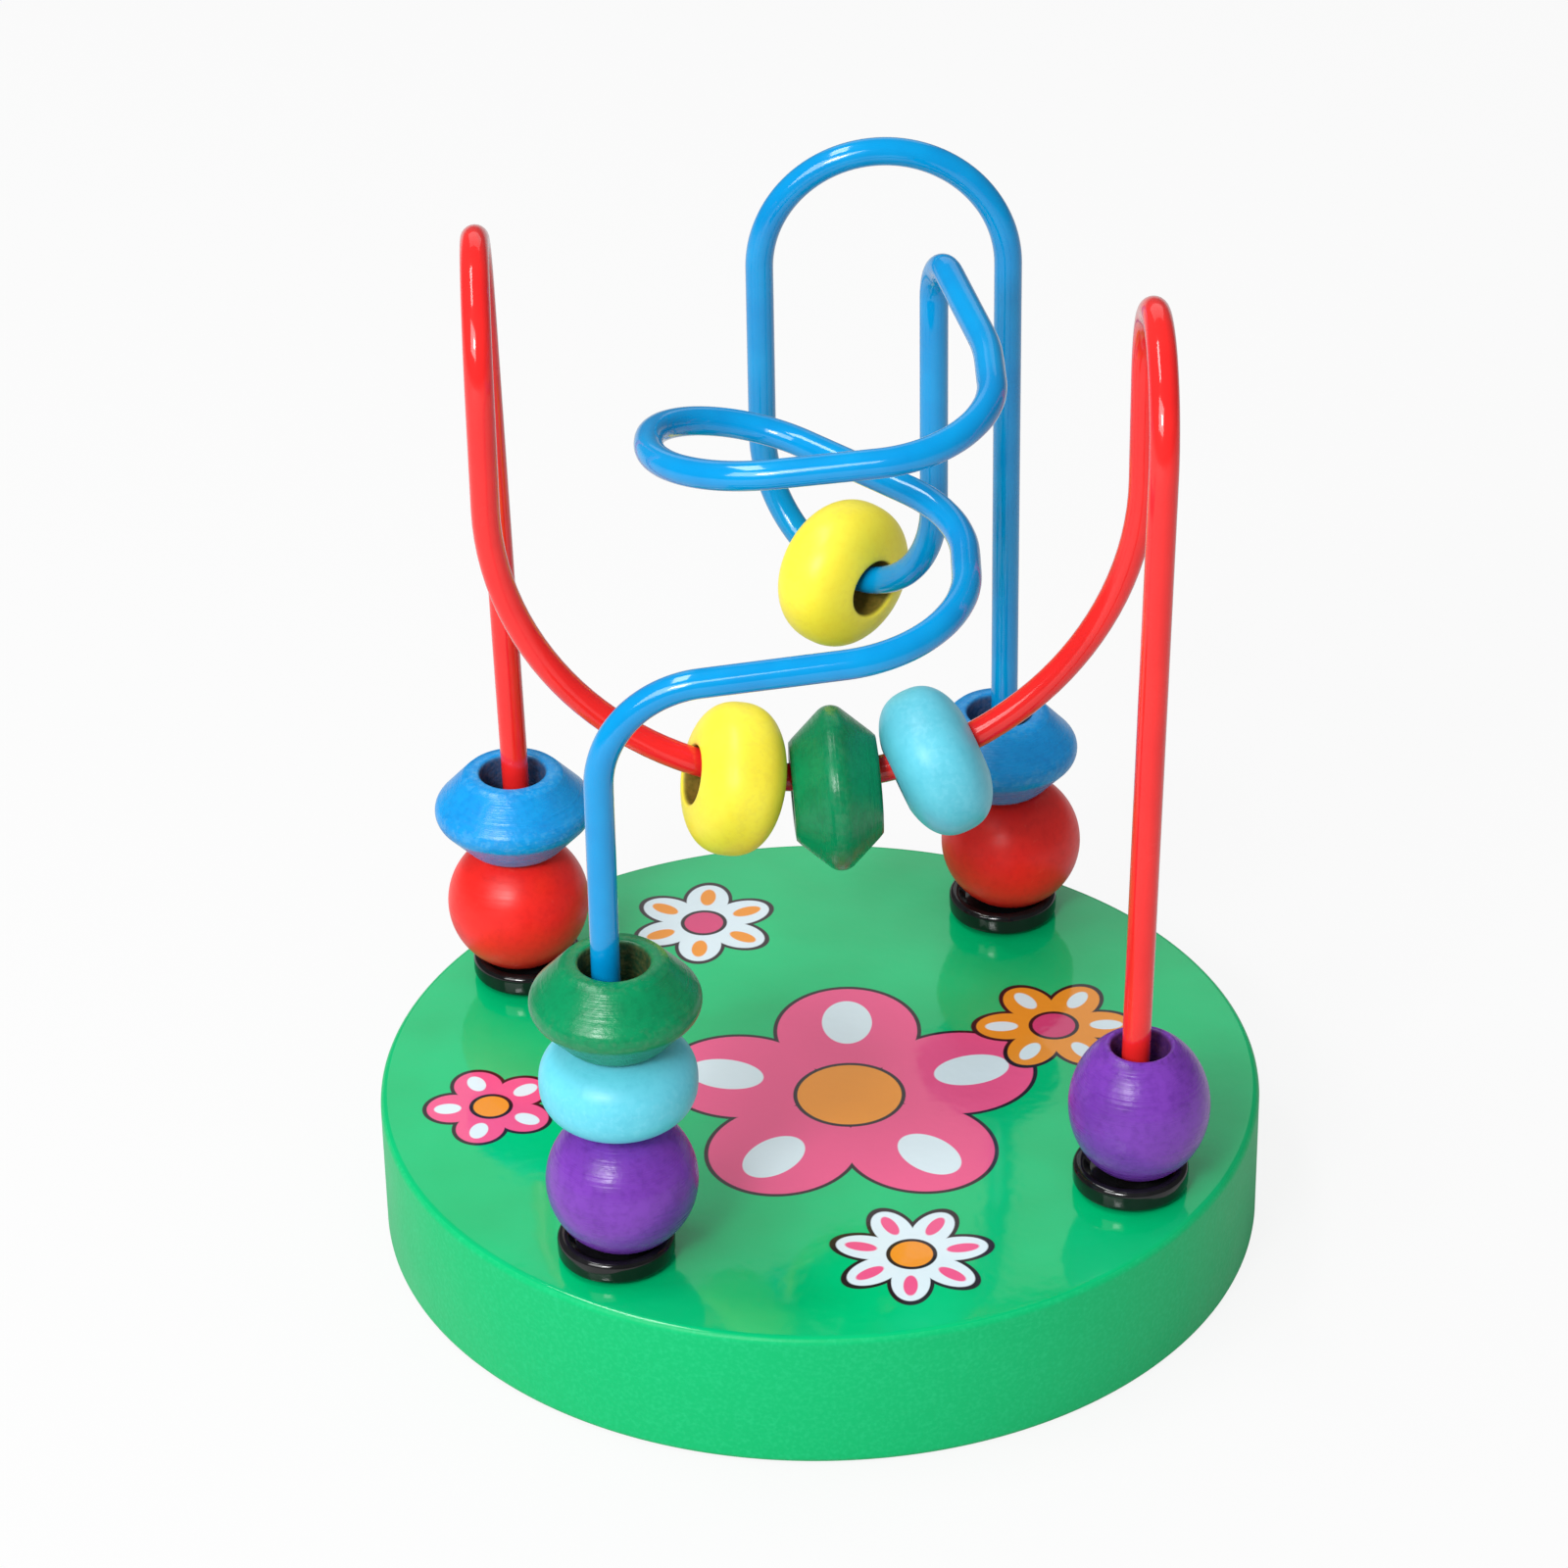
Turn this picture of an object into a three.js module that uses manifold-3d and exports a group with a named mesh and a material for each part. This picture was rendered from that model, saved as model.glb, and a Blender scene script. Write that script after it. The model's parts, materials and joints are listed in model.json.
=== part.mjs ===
// Bead maze: two bent, coated wires stand on a round wooden base and carry turned wooden beads.
// Millimetres. Z is up, the base rests on Z = 0 and its axis is the Z axis.
// Seen from the front, X runs to the right and Y runs away.
import * as THREE from 'three';
import { mergeVertices } from 'three/addons/utils/BufferGeometryUtils.js';
import Module from 'manifold-3d';

// Base
const BASE_DIAMETER = 90;
const BASE_THICKNESS = 15;
const BASE_EDGE_ROUND = 1.2;

// Feet of the wires: four on one circle, a quarter turn apart
const FOOT_CIRCLE_DIAMETER = 73.2;
const RIGHT_FOOT_ANGLE = -33.5;
const FOOT_DEPTH = 10.5;

// Space left between pieces that bear on each other
const CLEARANCE = 0.3;

// Wires, both with the same highest centre line
const WIRE_DIAMETER = 2.8;
const WIRE_TOP = 104;

// Red wire: two posts, a U-turn over each, and one deep swoop between the U-turns
const SWOOP_RADIUS = 31.6;
const SWOOP_LOWEST = 50.4;
const SWOOP_TURN = 3.2;
const SWOOP_SHIFT = 0.35;
const POST_TOP_SPLAY = 0.6;
const POST_FOOT_BEND = 40;
const TURN_FLAT = 0.2;

// Blue wire: front post, run to the right, loop that climbs evenly, hanging bight, arch and back post
const FRONT_POST_HEIGHT = 77.6;
const FRONT_POST_BEND = 11;
const FRONT_RUN_RIGHT = 14.1;
const FRONT_RUN_BEND = 11.7;
const LOOP_CLIMB_RATIO = 0.127;
const LOOP_ENTRY_Y = -9.6;
const LOOP_ENTRY_BEND = 12.6;
const LOOP_BACK_LEFT_X = -14.6;
const LOOP_BACK_LEFT_Y = 11;
const LOOP_BACK_LEFT_BEND = 9.6;
const LOOP_FRONT_LEFT_X = -15.7;
const LOOP_FRONT_LEFT_Y = -19;
const LOOP_FRONT_LEFT_BEND = 13;
const LOOP_FRONT_RIGHT_X = 17;
const LOOP_FRONT_RIGHT_Y = -20.9;
const LOOP_FRONT_RIGHT_BEND = 10.4;
const LOOP_EXIT_X = 16.6;
const LOOP_EXIT_Y = -4;
const LOOP_EXIT_BEND = 20;
const STRAND_X = 12.2;
const STRAND_Y = 13.8;
const STRAND_BEND = 5;
const BIGHT_LOWEST = 61.2;
const ARCH_LEFT = -4.7;

// Bushes that hold the wire feet and carry the lowest beads
const BUSH_FLANGE_DIAMETER = 11.5;
const BUSH_FLANGE_HEIGHT = 2.4;
const BUSH_SHANK_DIAMETER = 5.6;
const BUSH_SHANK_LENGTH = 8;
const BUSH_DISH_DEPTH = 0.8;
const BUSH_DISH_FLOOR_DIAMETER = 8;
const BUSH_RIM_ROUND = 0.65;

// Beads: rounded ones are super-ellipses turned about the bore, squarer as the power grows
const BALL_DIAMETER = 14.8;
const TALL_BALL_DIAMETER = 14;
const TALL_BALL_HEIGHT = 16;
const OVAL_DIAMETER = 15.3;
const OVAL_HEIGHT = 9.2;
const OVAL_POWER = 2.5;
const ROUND_BEAD_BORE = 5.8;
const BICONE_DIAMETER = 16.5;
const BICONE_HEIGHT = 8.8;
const BICONE_FACE_DIAMETER = 9.6;
const BICONE_EDGE_ROUND = 1.8;
const BICONE_BORE = 6.8;
const BICONE_BORE_CHAMFER = 0.4;

// Where the loose beads lie: sideways from their post, or in degrees from the foot of their bend
const FRONT_BEADS_SHIFT = 0.8;
const LEFT_BEADS_SHIFT = -0.7;
const RIGHT_BEAD_SHIFT = 0.7;
const BACK_BALL_SHIFT = 0.8;
const BACK_BICONE_SHIFT = -0.5;
const SWOOP_GREEN_ANGLE = 2.9;
const SWOOP_OVAL_SKEW = 9;
const BIGHT_BEAD_ANGLE = -3;

// Fineness of the curved surfaces
const BASE_SIDES = 64;
const BEAD_SIDES = 28;
const BEAD_PROFILE_STEPS = 10;
const BUSH_SIDES = 20;
const WIRE_SIDES = 10;
const BEND_STEP = THREE.MathUtils.degToRad(10);

const RED = { color: 0xe32a22, roughness: 0.35 };
const BLUE = { color: 0x1f86d6, roughness: 0.35 };
const LIGHT_BLUE = { color: 0x6fdcf0, roughness: 0.4 };
const YELLOW = { color: 0xf7ee4a, roughness: 0.4 };
const GREEN = { color: 0x0a9656, roughness: 0.4 };
const PURPLE = { color: 0x7d41b9, roughness: 0.4 };
const BLACK = { color: 0x111111, roughness: 0.2 };
const BASE_GREEN = { color: 0x06b868, roughness: 0.2 };

const wasm = await Module();
wasm.setup();

const part = new THREE.Group();
const up = new THREE.Vector3(0, 0, 1);

function addPiece(name, geometry, paint) {
  const mesh = new THREE.Mesh(geometry, new THREE.MeshStandardMaterial({ ...paint, metalness: 0 }));
  mesh.name = name;
  part.add(mesh);
  return mesh;
}

// Turns a profile of [radius, height] points about the Z axis
function turned(profile, sides) {
  const points = profile.map(([radius, height]) => new THREE.Vector2(radius, height));
  return new THREE.LatheGeometry(points, sides).rotateX(Math.PI / 2);
}

// Points of an arc in the profile plane
function roundEdge(centre, radius, fromDegrees, toDegrees, steps) {
  const points = [];
  for (let i = 0; i <= steps; i += 1) {
    const angle = THREE.MathUtils.degToRad(THREE.MathUtils.lerp(fromDegrees, toDegrees, i / steps));
    points.push([centre[0] + radius * Math.cos(angle), centre[1] + radius * Math.sin(angle)]);
  }
  return points;
}

function footAt(quarterTurns) {
  const angle = THREE.MathUtils.degToRad(RIGHT_FOOT_ANGLE + 90 * quarterTurns);
  const radius = FOOT_CIRCLE_DIAMETER / 2;
  return new THREE.Vector3(radius * Math.cos(angle), radius * Math.sin(angle), BASE_THICKNESS - FOOT_DEPTH);
}
const feet = { right: footAt(0), back: footAt(1), left: footAt(2), front: footAt(3) };

// Base: a turned disc with four blind holes for the bushes
function solidOf(geometry) {
  const bare = new THREE.BufferGeometry();
  bare.setAttribute('position', geometry.getAttribute('position'));
  bare.setIndex(geometry.getIndex());
  const welded = mergeVertices(bare, 1e-4);
  const corners = welded.getIndex().array;
  const triangles = [];
  for (let i = 0; i < corners.length; i += 3) {
    const [a, b, c] = corners.slice(i, i + 3);
    if (a !== b && b !== c && c !== a) triangles.push(a, b, c);
  }
  const vertProperties = Float32Array.from(welded.getAttribute('position').array);
  return new wasm.Manifold(new wasm.Mesh({ numProp: 3, vertProperties, triVerts: Uint32Array.from(triangles) }));
}

function geometryOf(solid) {
  const mesh = solid.getMesh();
  const geometry = new THREE.BufferGeometry();
  geometry.setAttribute('position', new THREE.BufferAttribute(mesh.vertProperties, 3));
  geometry.setIndex(new THREE.BufferAttribute(mesh.triVerts, 1));
  return geometry;
}

function baseBoard() {
  const inset = BASE_DIAMETER / 2 - BASE_EDGE_ROUND;
  const disc = turned([
    [0, 0],
    ...roundEdge([inset, BASE_EDGE_ROUND], BASE_EDGE_ROUND, -90, 0, 3),
    ...roundEdge([inset, BASE_THICKNESS - BASE_EDGE_ROUND], BASE_EDGE_ROUND, 0, 90, 3),
    [0, BASE_THICKNESS],
  ], BASE_SIDES);
  let solid = solidOf(disc);
  const holeRadius = BUSH_SHANK_DIAMETER / 2 + CLEARANCE;
  const holeDepth = FOOT_DEPTH + CLEARANCE;
  for (const foot of Object.values(feet)) {
    const hole = new THREE.CylinderGeometry(holeRadius, holeRadius, 2 * holeDepth, BUSH_SIDES);
    hole.rotateX(Math.PI / 2).translate(foot.x, foot.y, BASE_THICKNESS);
    solid = solid.subtract(solidOf(hole));
  }
  return geometryOf(solid);
}
addPiece('base_board', baseBoard(), BASE_GREEN);

// Bushes: flanged plugs with a dished top
const bushBottom = BASE_THICKNESS + CLEARANCE;
const bushTop = bushBottom + BUSH_FLANGE_HEIGHT;
const dishFloor = bushTop - BUSH_DISH_DEPTH;

function bush() {
  const bore = WIRE_DIAMETER / 2 + CLEARANCE;
  const shank = BUSH_SHANK_DIAMETER / 2;
  const rimCentre = BUSH_FLANGE_DIAMETER / 2 - BUSH_RIM_ROUND;
  const shankEnd = BASE_THICKNESS - BUSH_SHANK_LENGTH;
  return turned([
    [bore, shankEnd],
    [shank, shankEnd],
    [shank, bushBottom],
    ...roundEdge([rimCentre, bushBottom + BUSH_RIM_ROUND], BUSH_RIM_ROUND, -90, 0, 2),
    ...roundEdge([rimCentre, bushTop - BUSH_RIM_ROUND], BUSH_RIM_ROUND, 0, 150, 4),
    [BUSH_DISH_FLOOR_DIAMETER / 2, dishFloor],
    [bore, dishFloor],
    [bore, shankEnd],
  ], BUSH_SIDES);
}
for (const [place, foot] of Object.entries(feet)) {
  addPiece(`bush_${place}`, bush(), BLACK).position.set(foot.x, foot.y, 0);
}

// One bend of a wire: an arc that leaves its start along a direction and turns inward
class Bend extends THREE.Curve {
  constructor(start, along, inward, radius, angle) {
    super();
    Object.assign(this, { start, along, inward, radius, angle });
  }

  getPoint(t, target = new THREE.Vector3()) {
    const angle = t * this.angle;
    return target.copy(this.start)
      .addScaledVector(this.along, this.radius * Math.sin(angle))
      .addScaledVector(this.inward, this.radius * (1 - Math.cos(angle)));
  }
}

// A wire through corner points, each corner rounded to its own bend radius.
// Every straight is one step of the curve and every bend has as many steps as its angle needs.
class BentWire extends THREE.Curve {
  constructor(start, corners, end) {
    super();
    this.steps = [];
    const points = [start, ...corners.map((corner) => corner.at), end];
    let from = start;
    corners.forEach(({ at, bend }, i) => {
      const along = at.clone().sub(points[i]).normalize();
      const leaving = points[i + 2].clone().sub(at).normalize();
      const inward = leaving.clone().addScaledVector(along, -leaving.dot(along)).normalize();
      const angle = along.angleTo(leaving);
      const bendStart = at.clone().addScaledVector(along, -bend * Math.tan(angle / 2));
      const arc = new Bend(bendStart, along, inward, bend, angle);
      this.addStraight(from, bendStart);
      this.addBend(arc, Math.ceil(angle / BEND_STEP));
      from = arc.getPoint(1);
    });
    this.addStraight(from, end);
  }

  addStraight(from, to) {
    const negligible = 0.01;
    if (from.distanceTo(to) > negligible) {
      this.steps.push((t, target) => target.lerpVectors(from, to, t));
    }
  }

  addBend(arc, count) {
    for (let i = 0; i < count; i += 1) {
      this.steps.push((t, target) => arc.getPoint((i + t) / count, target));
    }
  }

  getPoint(t, target = new THREE.Vector3()) {
    const place = t * this.steps.length;
    const index = Math.min(Math.floor(place), this.steps.length - 1);
    return this.steps[index](place - index, target);
  }

  // Spaced points of the curve are the ends of its steps
  getUtoTmapping(u) {
    return u;
  }
}

function wireGeometry(wire) {
  const section = new THREE.Shape();
  section.absarc(0, 0, WIRE_DIAMETER / 2, 0, 2 * Math.PI);
  return new THREE.ExtrudeGeometry(section, {
    extrudePath: wire,
    steps: wire.steps.length,
    curveSegments: WIRE_SIDES / 2,
  });
}

// Red wire: the swoop lies a little off the middle, in a plane turned so that its left end is nearer
const swoopCentre = new THREE.Vector3(SWOOP_SHIFT, 0, SWOOP_LOWEST + SWOOP_RADIUS);
const swoopAcross = new THREE.Vector3(1, 0, 0).applyAxisAngle(up, THREE.MathUtils.degToRad(SWOOP_TURN));
function swoopEnd(side, height) {
  return swoopCentre.clone().addScaledVector(swoopAcross, side * SWOOP_RADIUS).setZ(height);
}
function redPost(foot, side) {
  const postTop = new THREE.Vector3(side * (SWOOP_RADIUS + POST_TOP_SPLAY), foot.y, WIRE_TOP);
  const armTop = swoopEnd(side, WIRE_TOP);
  const bend = (postTop.distanceTo(armTop) - TURN_FLAT) / 2;
  return [
    { at: new THREE.Vector3(foot.x, foot.y, bushTop), bend: POST_FOOT_BEND },
    { at: postTop, bend },
    { at: armTop, bend },
  ];
}
const redWire = new BentWire(feet.left, [
  ...redPost(feet.left, -1),
  { at: swoopEnd(-1, SWOOP_LOWEST), bend: SWOOP_RADIUS },
  { at: swoopEnd(1, SWOOP_LOWEST), bend: SWOOP_RADIUS },
  ...redPost(feet.right, 1).reverse(),
], feet.right);
addPiece('red_wire', wireGeometry(redWire), RED);

// Blue wire: from the top of the front post to the top of the strand it gains height with its length in plan
function climbingCorners() {
  const plan = [
    { x: feet.front.x, y: feet.front.y, bend: FRONT_POST_BEND },
    { x: FRONT_RUN_RIGHT, y: feet.front.y, bend: FRONT_RUN_BEND },
    { x: FRONT_RUN_RIGHT, y: LOOP_ENTRY_Y, bend: LOOP_ENTRY_BEND },
    { x: LOOP_BACK_LEFT_X, y: LOOP_BACK_LEFT_Y, bend: LOOP_BACK_LEFT_BEND },
    { x: LOOP_FRONT_LEFT_X, y: LOOP_FRONT_LEFT_Y, bend: LOOP_FRONT_LEFT_BEND },
    { x: LOOP_FRONT_RIGHT_X, y: LOOP_FRONT_RIGHT_Y, bend: LOOP_FRONT_RIGHT_BEND },
    { x: LOOP_EXIT_X, y: LOOP_EXIT_Y, bend: LOOP_EXIT_BEND },
    { x: STRAND_X, y: STRAND_Y, bend: STRAND_BEND },
  ];
  let height = FRONT_POST_HEIGHT;
  return plan.map(({ x, y, bend }, i) => {
    if (i > 0) height += LOOP_CLIMB_RATIO * Math.hypot(x - plan[i - 1].x, y - plan[i - 1].y);
    return { at: new THREE.Vector3(x, y, height), bend };
  });
}
const archBend = (feet.back.x - ARCH_LEFT) / 2;
const bightStart = new THREE.Vector3(STRAND_X, STRAND_Y, BIGHT_LOWEST);
const bightEnd = new THREE.Vector3(ARCH_LEFT, feet.back.y, BIGHT_LOWEST);
const bightBend = bightStart.distanceTo(bightEnd) / 2;
const blueWire = new BentWire(feet.front, [
  ...climbingCorners(),
  { at: bightStart, bend: bightBend },
  { at: bightEnd, bend: bightBend },
  { at: new THREE.Vector3(ARCH_LEFT, feet.back.y, WIRE_TOP), bend: archBend },
  { at: new THREE.Vector3(feet.back.x, feet.back.y, WIRE_TOP), bend: archBend },
], feet.back);
addPiece('blue_wire', wireGeometry(blueWire), BLUE);

// Bead kinds: each has its bore radius, its half-height at any radius, and its turned profile
function roundedBead(diameter, height, power) {
  const bore = ROUND_BEAD_BORE / 2;
  const radius = diameter / 2;
  const halfHeightAt = (r) => (height / 2) * (1 - (r / radius) ** power) ** (1 / power);
  const rimAngle = Math.atan2((halfHeightAt(bore) / (height / 2)) ** (power / 2), (bore / radius) ** (power / 2));
  const profile = [];
  for (let i = 0; i <= BEAD_PROFILE_STEPS; i += 1) {
    const angle = rimAngle * (2 * i / BEAD_PROFILE_STEPS - 1);
    const across = Math.cos(angle) ** (2 / power);
    const along = Math.sign(angle) * Math.abs(Math.sin(angle)) ** (2 / power);
    profile.push([radius * across, (height / 2) * along]);
  }
  return { bore, halfHeightAt, profile };
}

function bicone() {
  const bore = BICONE_BORE / 2;
  const chamfer = BICONE_BORE_CHAMFER;
  const face = BICONE_FACE_DIAMETER / 2;
  const radius = BICONE_DIAMETER / 2;
  const halfHeight = BICONE_HEIGHT / 2;
  const halfHeightAt = (r) => halfHeight * Math.min(1, (radius - r) / (radius - face));
  const edgeAngle = THREE.MathUtils.radToDeg(Math.atan2(radius - face, halfHeight));
  const profile = [
    [bore, -halfHeight + chamfer],
    [bore + chamfer, -halfHeight],
    [face, -halfHeight],
    ...roundEdge([radius - BICONE_EDGE_ROUND, 0], BICONE_EDGE_ROUND, -edgeAngle, edgeAngle, 4),
    [face, halfHeight],
    [bore + chamfer, halfHeight],
    [bore, halfHeight - chamfer],
  ];
  return { bore, halfHeightAt, profile };
}

const ball = roundedBead(BALL_DIAMETER, BALL_DIAMETER, 2);
const tallBall = roundedBead(TALL_BALL_DIAMETER, TALL_BALL_HEIGHT, 2);
const oval = roundedBead(OVAL_DIAMETER, OVAL_HEIGHT, OVAL_POWER);
const doubleCone = bicone();

function addBead(name, bead, paint) {
  return addPiece(name, turned([...bead.profile, bead.profile[0]], BEAD_SIDES), paint);
}

// Beads stacked on a post: the lowest rests in the dish of its bush, each other one on the bead below.
// Two beads meet at the wider of their bores, moved by how far they lie off each other.
function stack(foot, beads) {
  let height = dishFloor + CLEARANCE;
  let below = null;
  for (const { name, bead, paint, shift } of beads) {
    if (below) {
      const offset = Math.abs(shift - below.shift);
      height += below.bead.halfHeightAt(Math.max(below.bead.bore, bead.bore - offset)) + CLEARANCE;
      height += bead.halfHeightAt(Math.max(bead.bore, below.bead.bore + offset));
    } else {
      height += bead.halfHeightAt(bead.bore);
    }
    addBead(name, bead, paint).position.set(foot.x + shift, foot.y, height);
    below = { bead, shift };
  }
}
stack(feet.left, [
  { name: 'bead_left_ball', bead: ball, paint: RED, shift: LEFT_BEADS_SHIFT },
  { name: 'bead_left_bicone', bead: doubleCone, paint: BLUE, shift: LEFT_BEADS_SHIFT },
]);
stack(feet.front, [
  { name: 'bead_front_ball', bead: ball, paint: PURPLE, shift: FRONT_BEADS_SHIFT },
  { name: 'bead_front_oval', bead: oval, paint: LIGHT_BLUE, shift: FRONT_BEADS_SHIFT },
  { name: 'bead_front_bicone', bead: doubleCone, paint: GREEN, shift: FRONT_BEADS_SHIFT },
]);
stack(feet.right, [
  { name: 'bead_right_ball', bead: tallBall, paint: PURPLE, shift: RIGHT_BEAD_SHIFT },
]);
stack(feet.back, [
  { name: 'bead_back_ball', bead: ball, paint: RED, shift: BACK_BALL_SHIFT },
  { name: 'bead_back_bicone', bead: doubleCone, paint: BLUE, shift: BACK_BICONE_SHIFT },
]);

// Beads that hang on an upward-opening bend, the top of the bore against the wire
function hangingRadius(bend, bead) {
  const halfLength = bead.halfHeightAt(bead.bore);
  const wireInside = bend - WIRE_DIAMETER / 2;
  return Math.sqrt(wireInside ** 2 - halfLength ** 2) + bead.bore - CLEARANCE;
}

// Half the angle, seen from the centre of the bend, that a hanging bead takes up
function halfAngle(bend, bead) {
  const radius = hangingRadius(bend, bead);
  return Math.max(...bead.profile.map(([r, height]) => Math.atan2(height, radius - r)));
}

// A loose bead may also lie askew on the wire, turned about the line from the centre of the bend
function hang(name, bead, paint, { centre, across, bend }, angle, skew = 0) {
  const radius = hangingRadius(bend, bead);
  const mesh = addBead(name, bead, paint);
  const outward = across.clone().multiplyScalar(Math.sin(angle)).addScaledVector(up, -Math.cos(angle));
  const tangent = across.clone().multiplyScalar(Math.cos(angle)).addScaledVector(up, Math.sin(angle));
  tangent.applyAxisAngle(outward, -THREE.MathUtils.degToRad(skew));
  mesh.position.copy(centre).addScaledVector(outward, radius);
  mesh.quaternion.setFromUnitVectors(up, tangent);
}

const swoop = {
  centre: swoopCentre,
  across: swoopAcross,
  bend: SWOOP_RADIUS,
};
const greenAngle = THREE.MathUtils.degToRad(SWOOP_GREEN_ANGLE);
const beadSpacing = halfAngle(SWOOP_RADIUS, doubleCone) + halfAngle(SWOOP_RADIUS, oval)
  + CLEARANCE / (SWOOP_RADIUS - BICONE_FACE_DIAMETER / 2);
hang('bead_swoop_yellow', oval, YELLOW, swoop, greenAngle - beadSpacing, SWOOP_OVAL_SKEW);
hang('bead_swoop_green', doubleCone, GREEN, swoop, greenAngle);
hang('bead_swoop_light_blue', oval, LIGHT_BLUE, swoop, greenAngle + beadSpacing, SWOOP_OVAL_SKEW);

const bight = {
  centre: bightStart.clone().add(bightEnd).multiplyScalar(0.5).addScaledVector(up, bightBend),
  across: bightStart.clone().sub(bightEnd).normalize(),
  bend: bightBend,
};
hang('bead_bight_yellow', oval, YELLOW, bight, THREE.MathUtils.degToRad(BIGHT_BEAD_ANGLE));

export default part;
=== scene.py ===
import json
import math

import bpy
import numpy as np
from mathutils import Matrix, Vector


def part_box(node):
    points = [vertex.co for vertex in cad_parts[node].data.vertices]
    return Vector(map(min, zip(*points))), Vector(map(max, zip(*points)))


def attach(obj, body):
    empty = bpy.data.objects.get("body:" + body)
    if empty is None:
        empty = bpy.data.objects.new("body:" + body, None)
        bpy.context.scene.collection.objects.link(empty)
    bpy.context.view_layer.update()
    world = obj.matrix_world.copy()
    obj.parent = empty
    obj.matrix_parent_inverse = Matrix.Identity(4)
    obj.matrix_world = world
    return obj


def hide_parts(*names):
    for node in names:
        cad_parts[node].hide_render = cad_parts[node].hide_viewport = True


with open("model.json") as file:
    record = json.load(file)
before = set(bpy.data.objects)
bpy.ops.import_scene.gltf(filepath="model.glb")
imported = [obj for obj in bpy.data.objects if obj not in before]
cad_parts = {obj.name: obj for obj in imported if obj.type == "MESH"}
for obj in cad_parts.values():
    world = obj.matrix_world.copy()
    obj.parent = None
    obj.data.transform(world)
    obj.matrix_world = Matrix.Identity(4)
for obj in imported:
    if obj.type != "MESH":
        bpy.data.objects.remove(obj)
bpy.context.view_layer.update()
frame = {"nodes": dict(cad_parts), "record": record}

MM = 0.001

# Base
BASE_DIAMETER = 90
BASE_THICKNESS = 15
BASE_EDGE_ROUND = 0.8
BASE_SIDES = 256
HOLE_DIAMETER = 6.2
HOLE_DEPTH = 10.8
HOLE_SIDES = 48

# Feet of the wires
FOOT_CIRCLE_RADIUS = 36.6
RIGHT_FOOT_ANGLE = -33.5
FOOT_END_HEIGHT = 4.5

# Both wires
WIRE_DIAMETER = 2.8
WIRE_TOP = 104
BEND_STEP = 3

# Red wire: the swoop lies a little off the middle, in a plane turned so that its left end is nearer
SWOOP_RADIUS = 31.6
SWOOP_LOWEST = 50.4
SWOOP_TURN = 3.2
SWOOP_SHIFT = 0.35
POST_TOP_SPLAY = 0.6
POST_FOOT_BEND = 40
TURN_FLAT = 0.2

# Blue wire: from the top of the front post to the strand it climbs evenly
FRONT_POST_HEIGHT = 77.6
FRONT_POST_BEND = 11
FRONT_RUN_RIGHT = 14.1
FRONT_RUN_BEND = 11.7
LOOP_CLIMB_RATIO = 0.127
LOOP_ENTRY_Y = -9.6
LOOP_ENTRY_BEND = 12.6
LOOP_BACK_LEFT_X = -14.6
LOOP_BACK_LEFT_Y = 11
LOOP_BACK_LEFT_BEND = 9.6
LOOP_FRONT_LEFT_X = -15.7
LOOP_FRONT_LEFT_Y = -19
LOOP_FRONT_LEFT_BEND = 13
LOOP_FRONT_RIGHT_X = 17
LOOP_FRONT_RIGHT_Y = -20.9
LOOP_FRONT_RIGHT_BEND = 10.4
LOOP_EXIT_X = 16.6
LOOP_EXIT_Y = -4
LOOP_EXIT_BEND = 20
STRAND_X = 12.2
STRAND_Y = 13.8
STRAND_BEND = 5
BIGHT_LOWEST = 61.2
ARCH_LEFT = -4.7

# Bushes, measured from the underside of the base
BUSH_BORE = 3.4
BUSH_SHANK = 5.6
BUSH_SHANK_END = 7
BUSH_BOTTOM = 15.3
BUSH_TOP = 17.7
BUSH_FLANGE = 11.5
BUSH_RIM_ROUND = 0.65
BUSH_DISH_FLOOR = 16.9
BUSH_DISH_DIAMETER = 8

# Beads
BALL = {"diameter": 14.8, "height": 14.8, "power": 2, "bore": 5.8}
TALL_BALL = {"diameter": 14, "height": 16, "power": 2, "bore": 5.8}
OVAL = {"diameter": 15.3, "height": 9.2, "power": 2.5, "bore": 5.8}
BICONE = {"diameter": 16.5, "height": 8.8, "face": 9.6, "edge_round": 1.8, "bore": 6.8}
BORE_RIM_ROUND = 0.45
TURNED_SIDES = 96

# Where a double cone's flat face bends into its cone
FACE_ROUND_INSET = 0.9
FACE_EDGE_REACH = 0.1
FACE_EDGE_DROP = 0.08
CONE_START_REACH = 0.54
CONE_START_DROP = 0.495

# Paint on beads: it gives way at the bore to a darker wall, partly bare wood and partly painted shade, and is
# rubbed at the rims and, on flat beads, at the girth
BORE_FADE = 0.2
RUBBED_RIM = 0.7
RUBBED_GIRTH = 0.9
FLAT_BEAD_HALF_HEIGHT = 4.5


# Making and finishing objects

def deselect_all():
    bpy.ops.object.select_all(action="DESELECT")


def make_active(piece):
    deselect_all()
    piece.select_set(True)
    bpy.context.view_layer.objects.active = piece


def in_edit_mode(piece, *steps):
    """Runs modelling steps on the whole mesh of a piece."""
    make_active(piece)
    bpy.ops.object.mode_set(mode="EDIT")
    bpy.ops.mesh.select_all(action="SELECT")
    for step in steps:
        step()
    bpy.ops.object.mode_set(mode="OBJECT")


def close_and_face_outwards():
    bpy.ops.mesh.select_all(action="SELECT")
    bpy.ops.mesh.remove_doubles(threshold=0.001 * MM)
    bpy.ops.mesh.normals_make_consistent(inside=False)


def smooth(piece, sharp_angle):
    make_active(piece)
    bpy.ops.object.shade_smooth_by_angle(angle=math.radians(sharp_angle))


def apply_place(piece):
    make_active(piece)
    bpy.ops.object.transform_apply(location=True, rotation=True, scale=True)


body_of_node = {
    node: body for body, nodes in frame["record"]["behaviour"]["bodies"].items() for node in nodes
}


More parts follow.
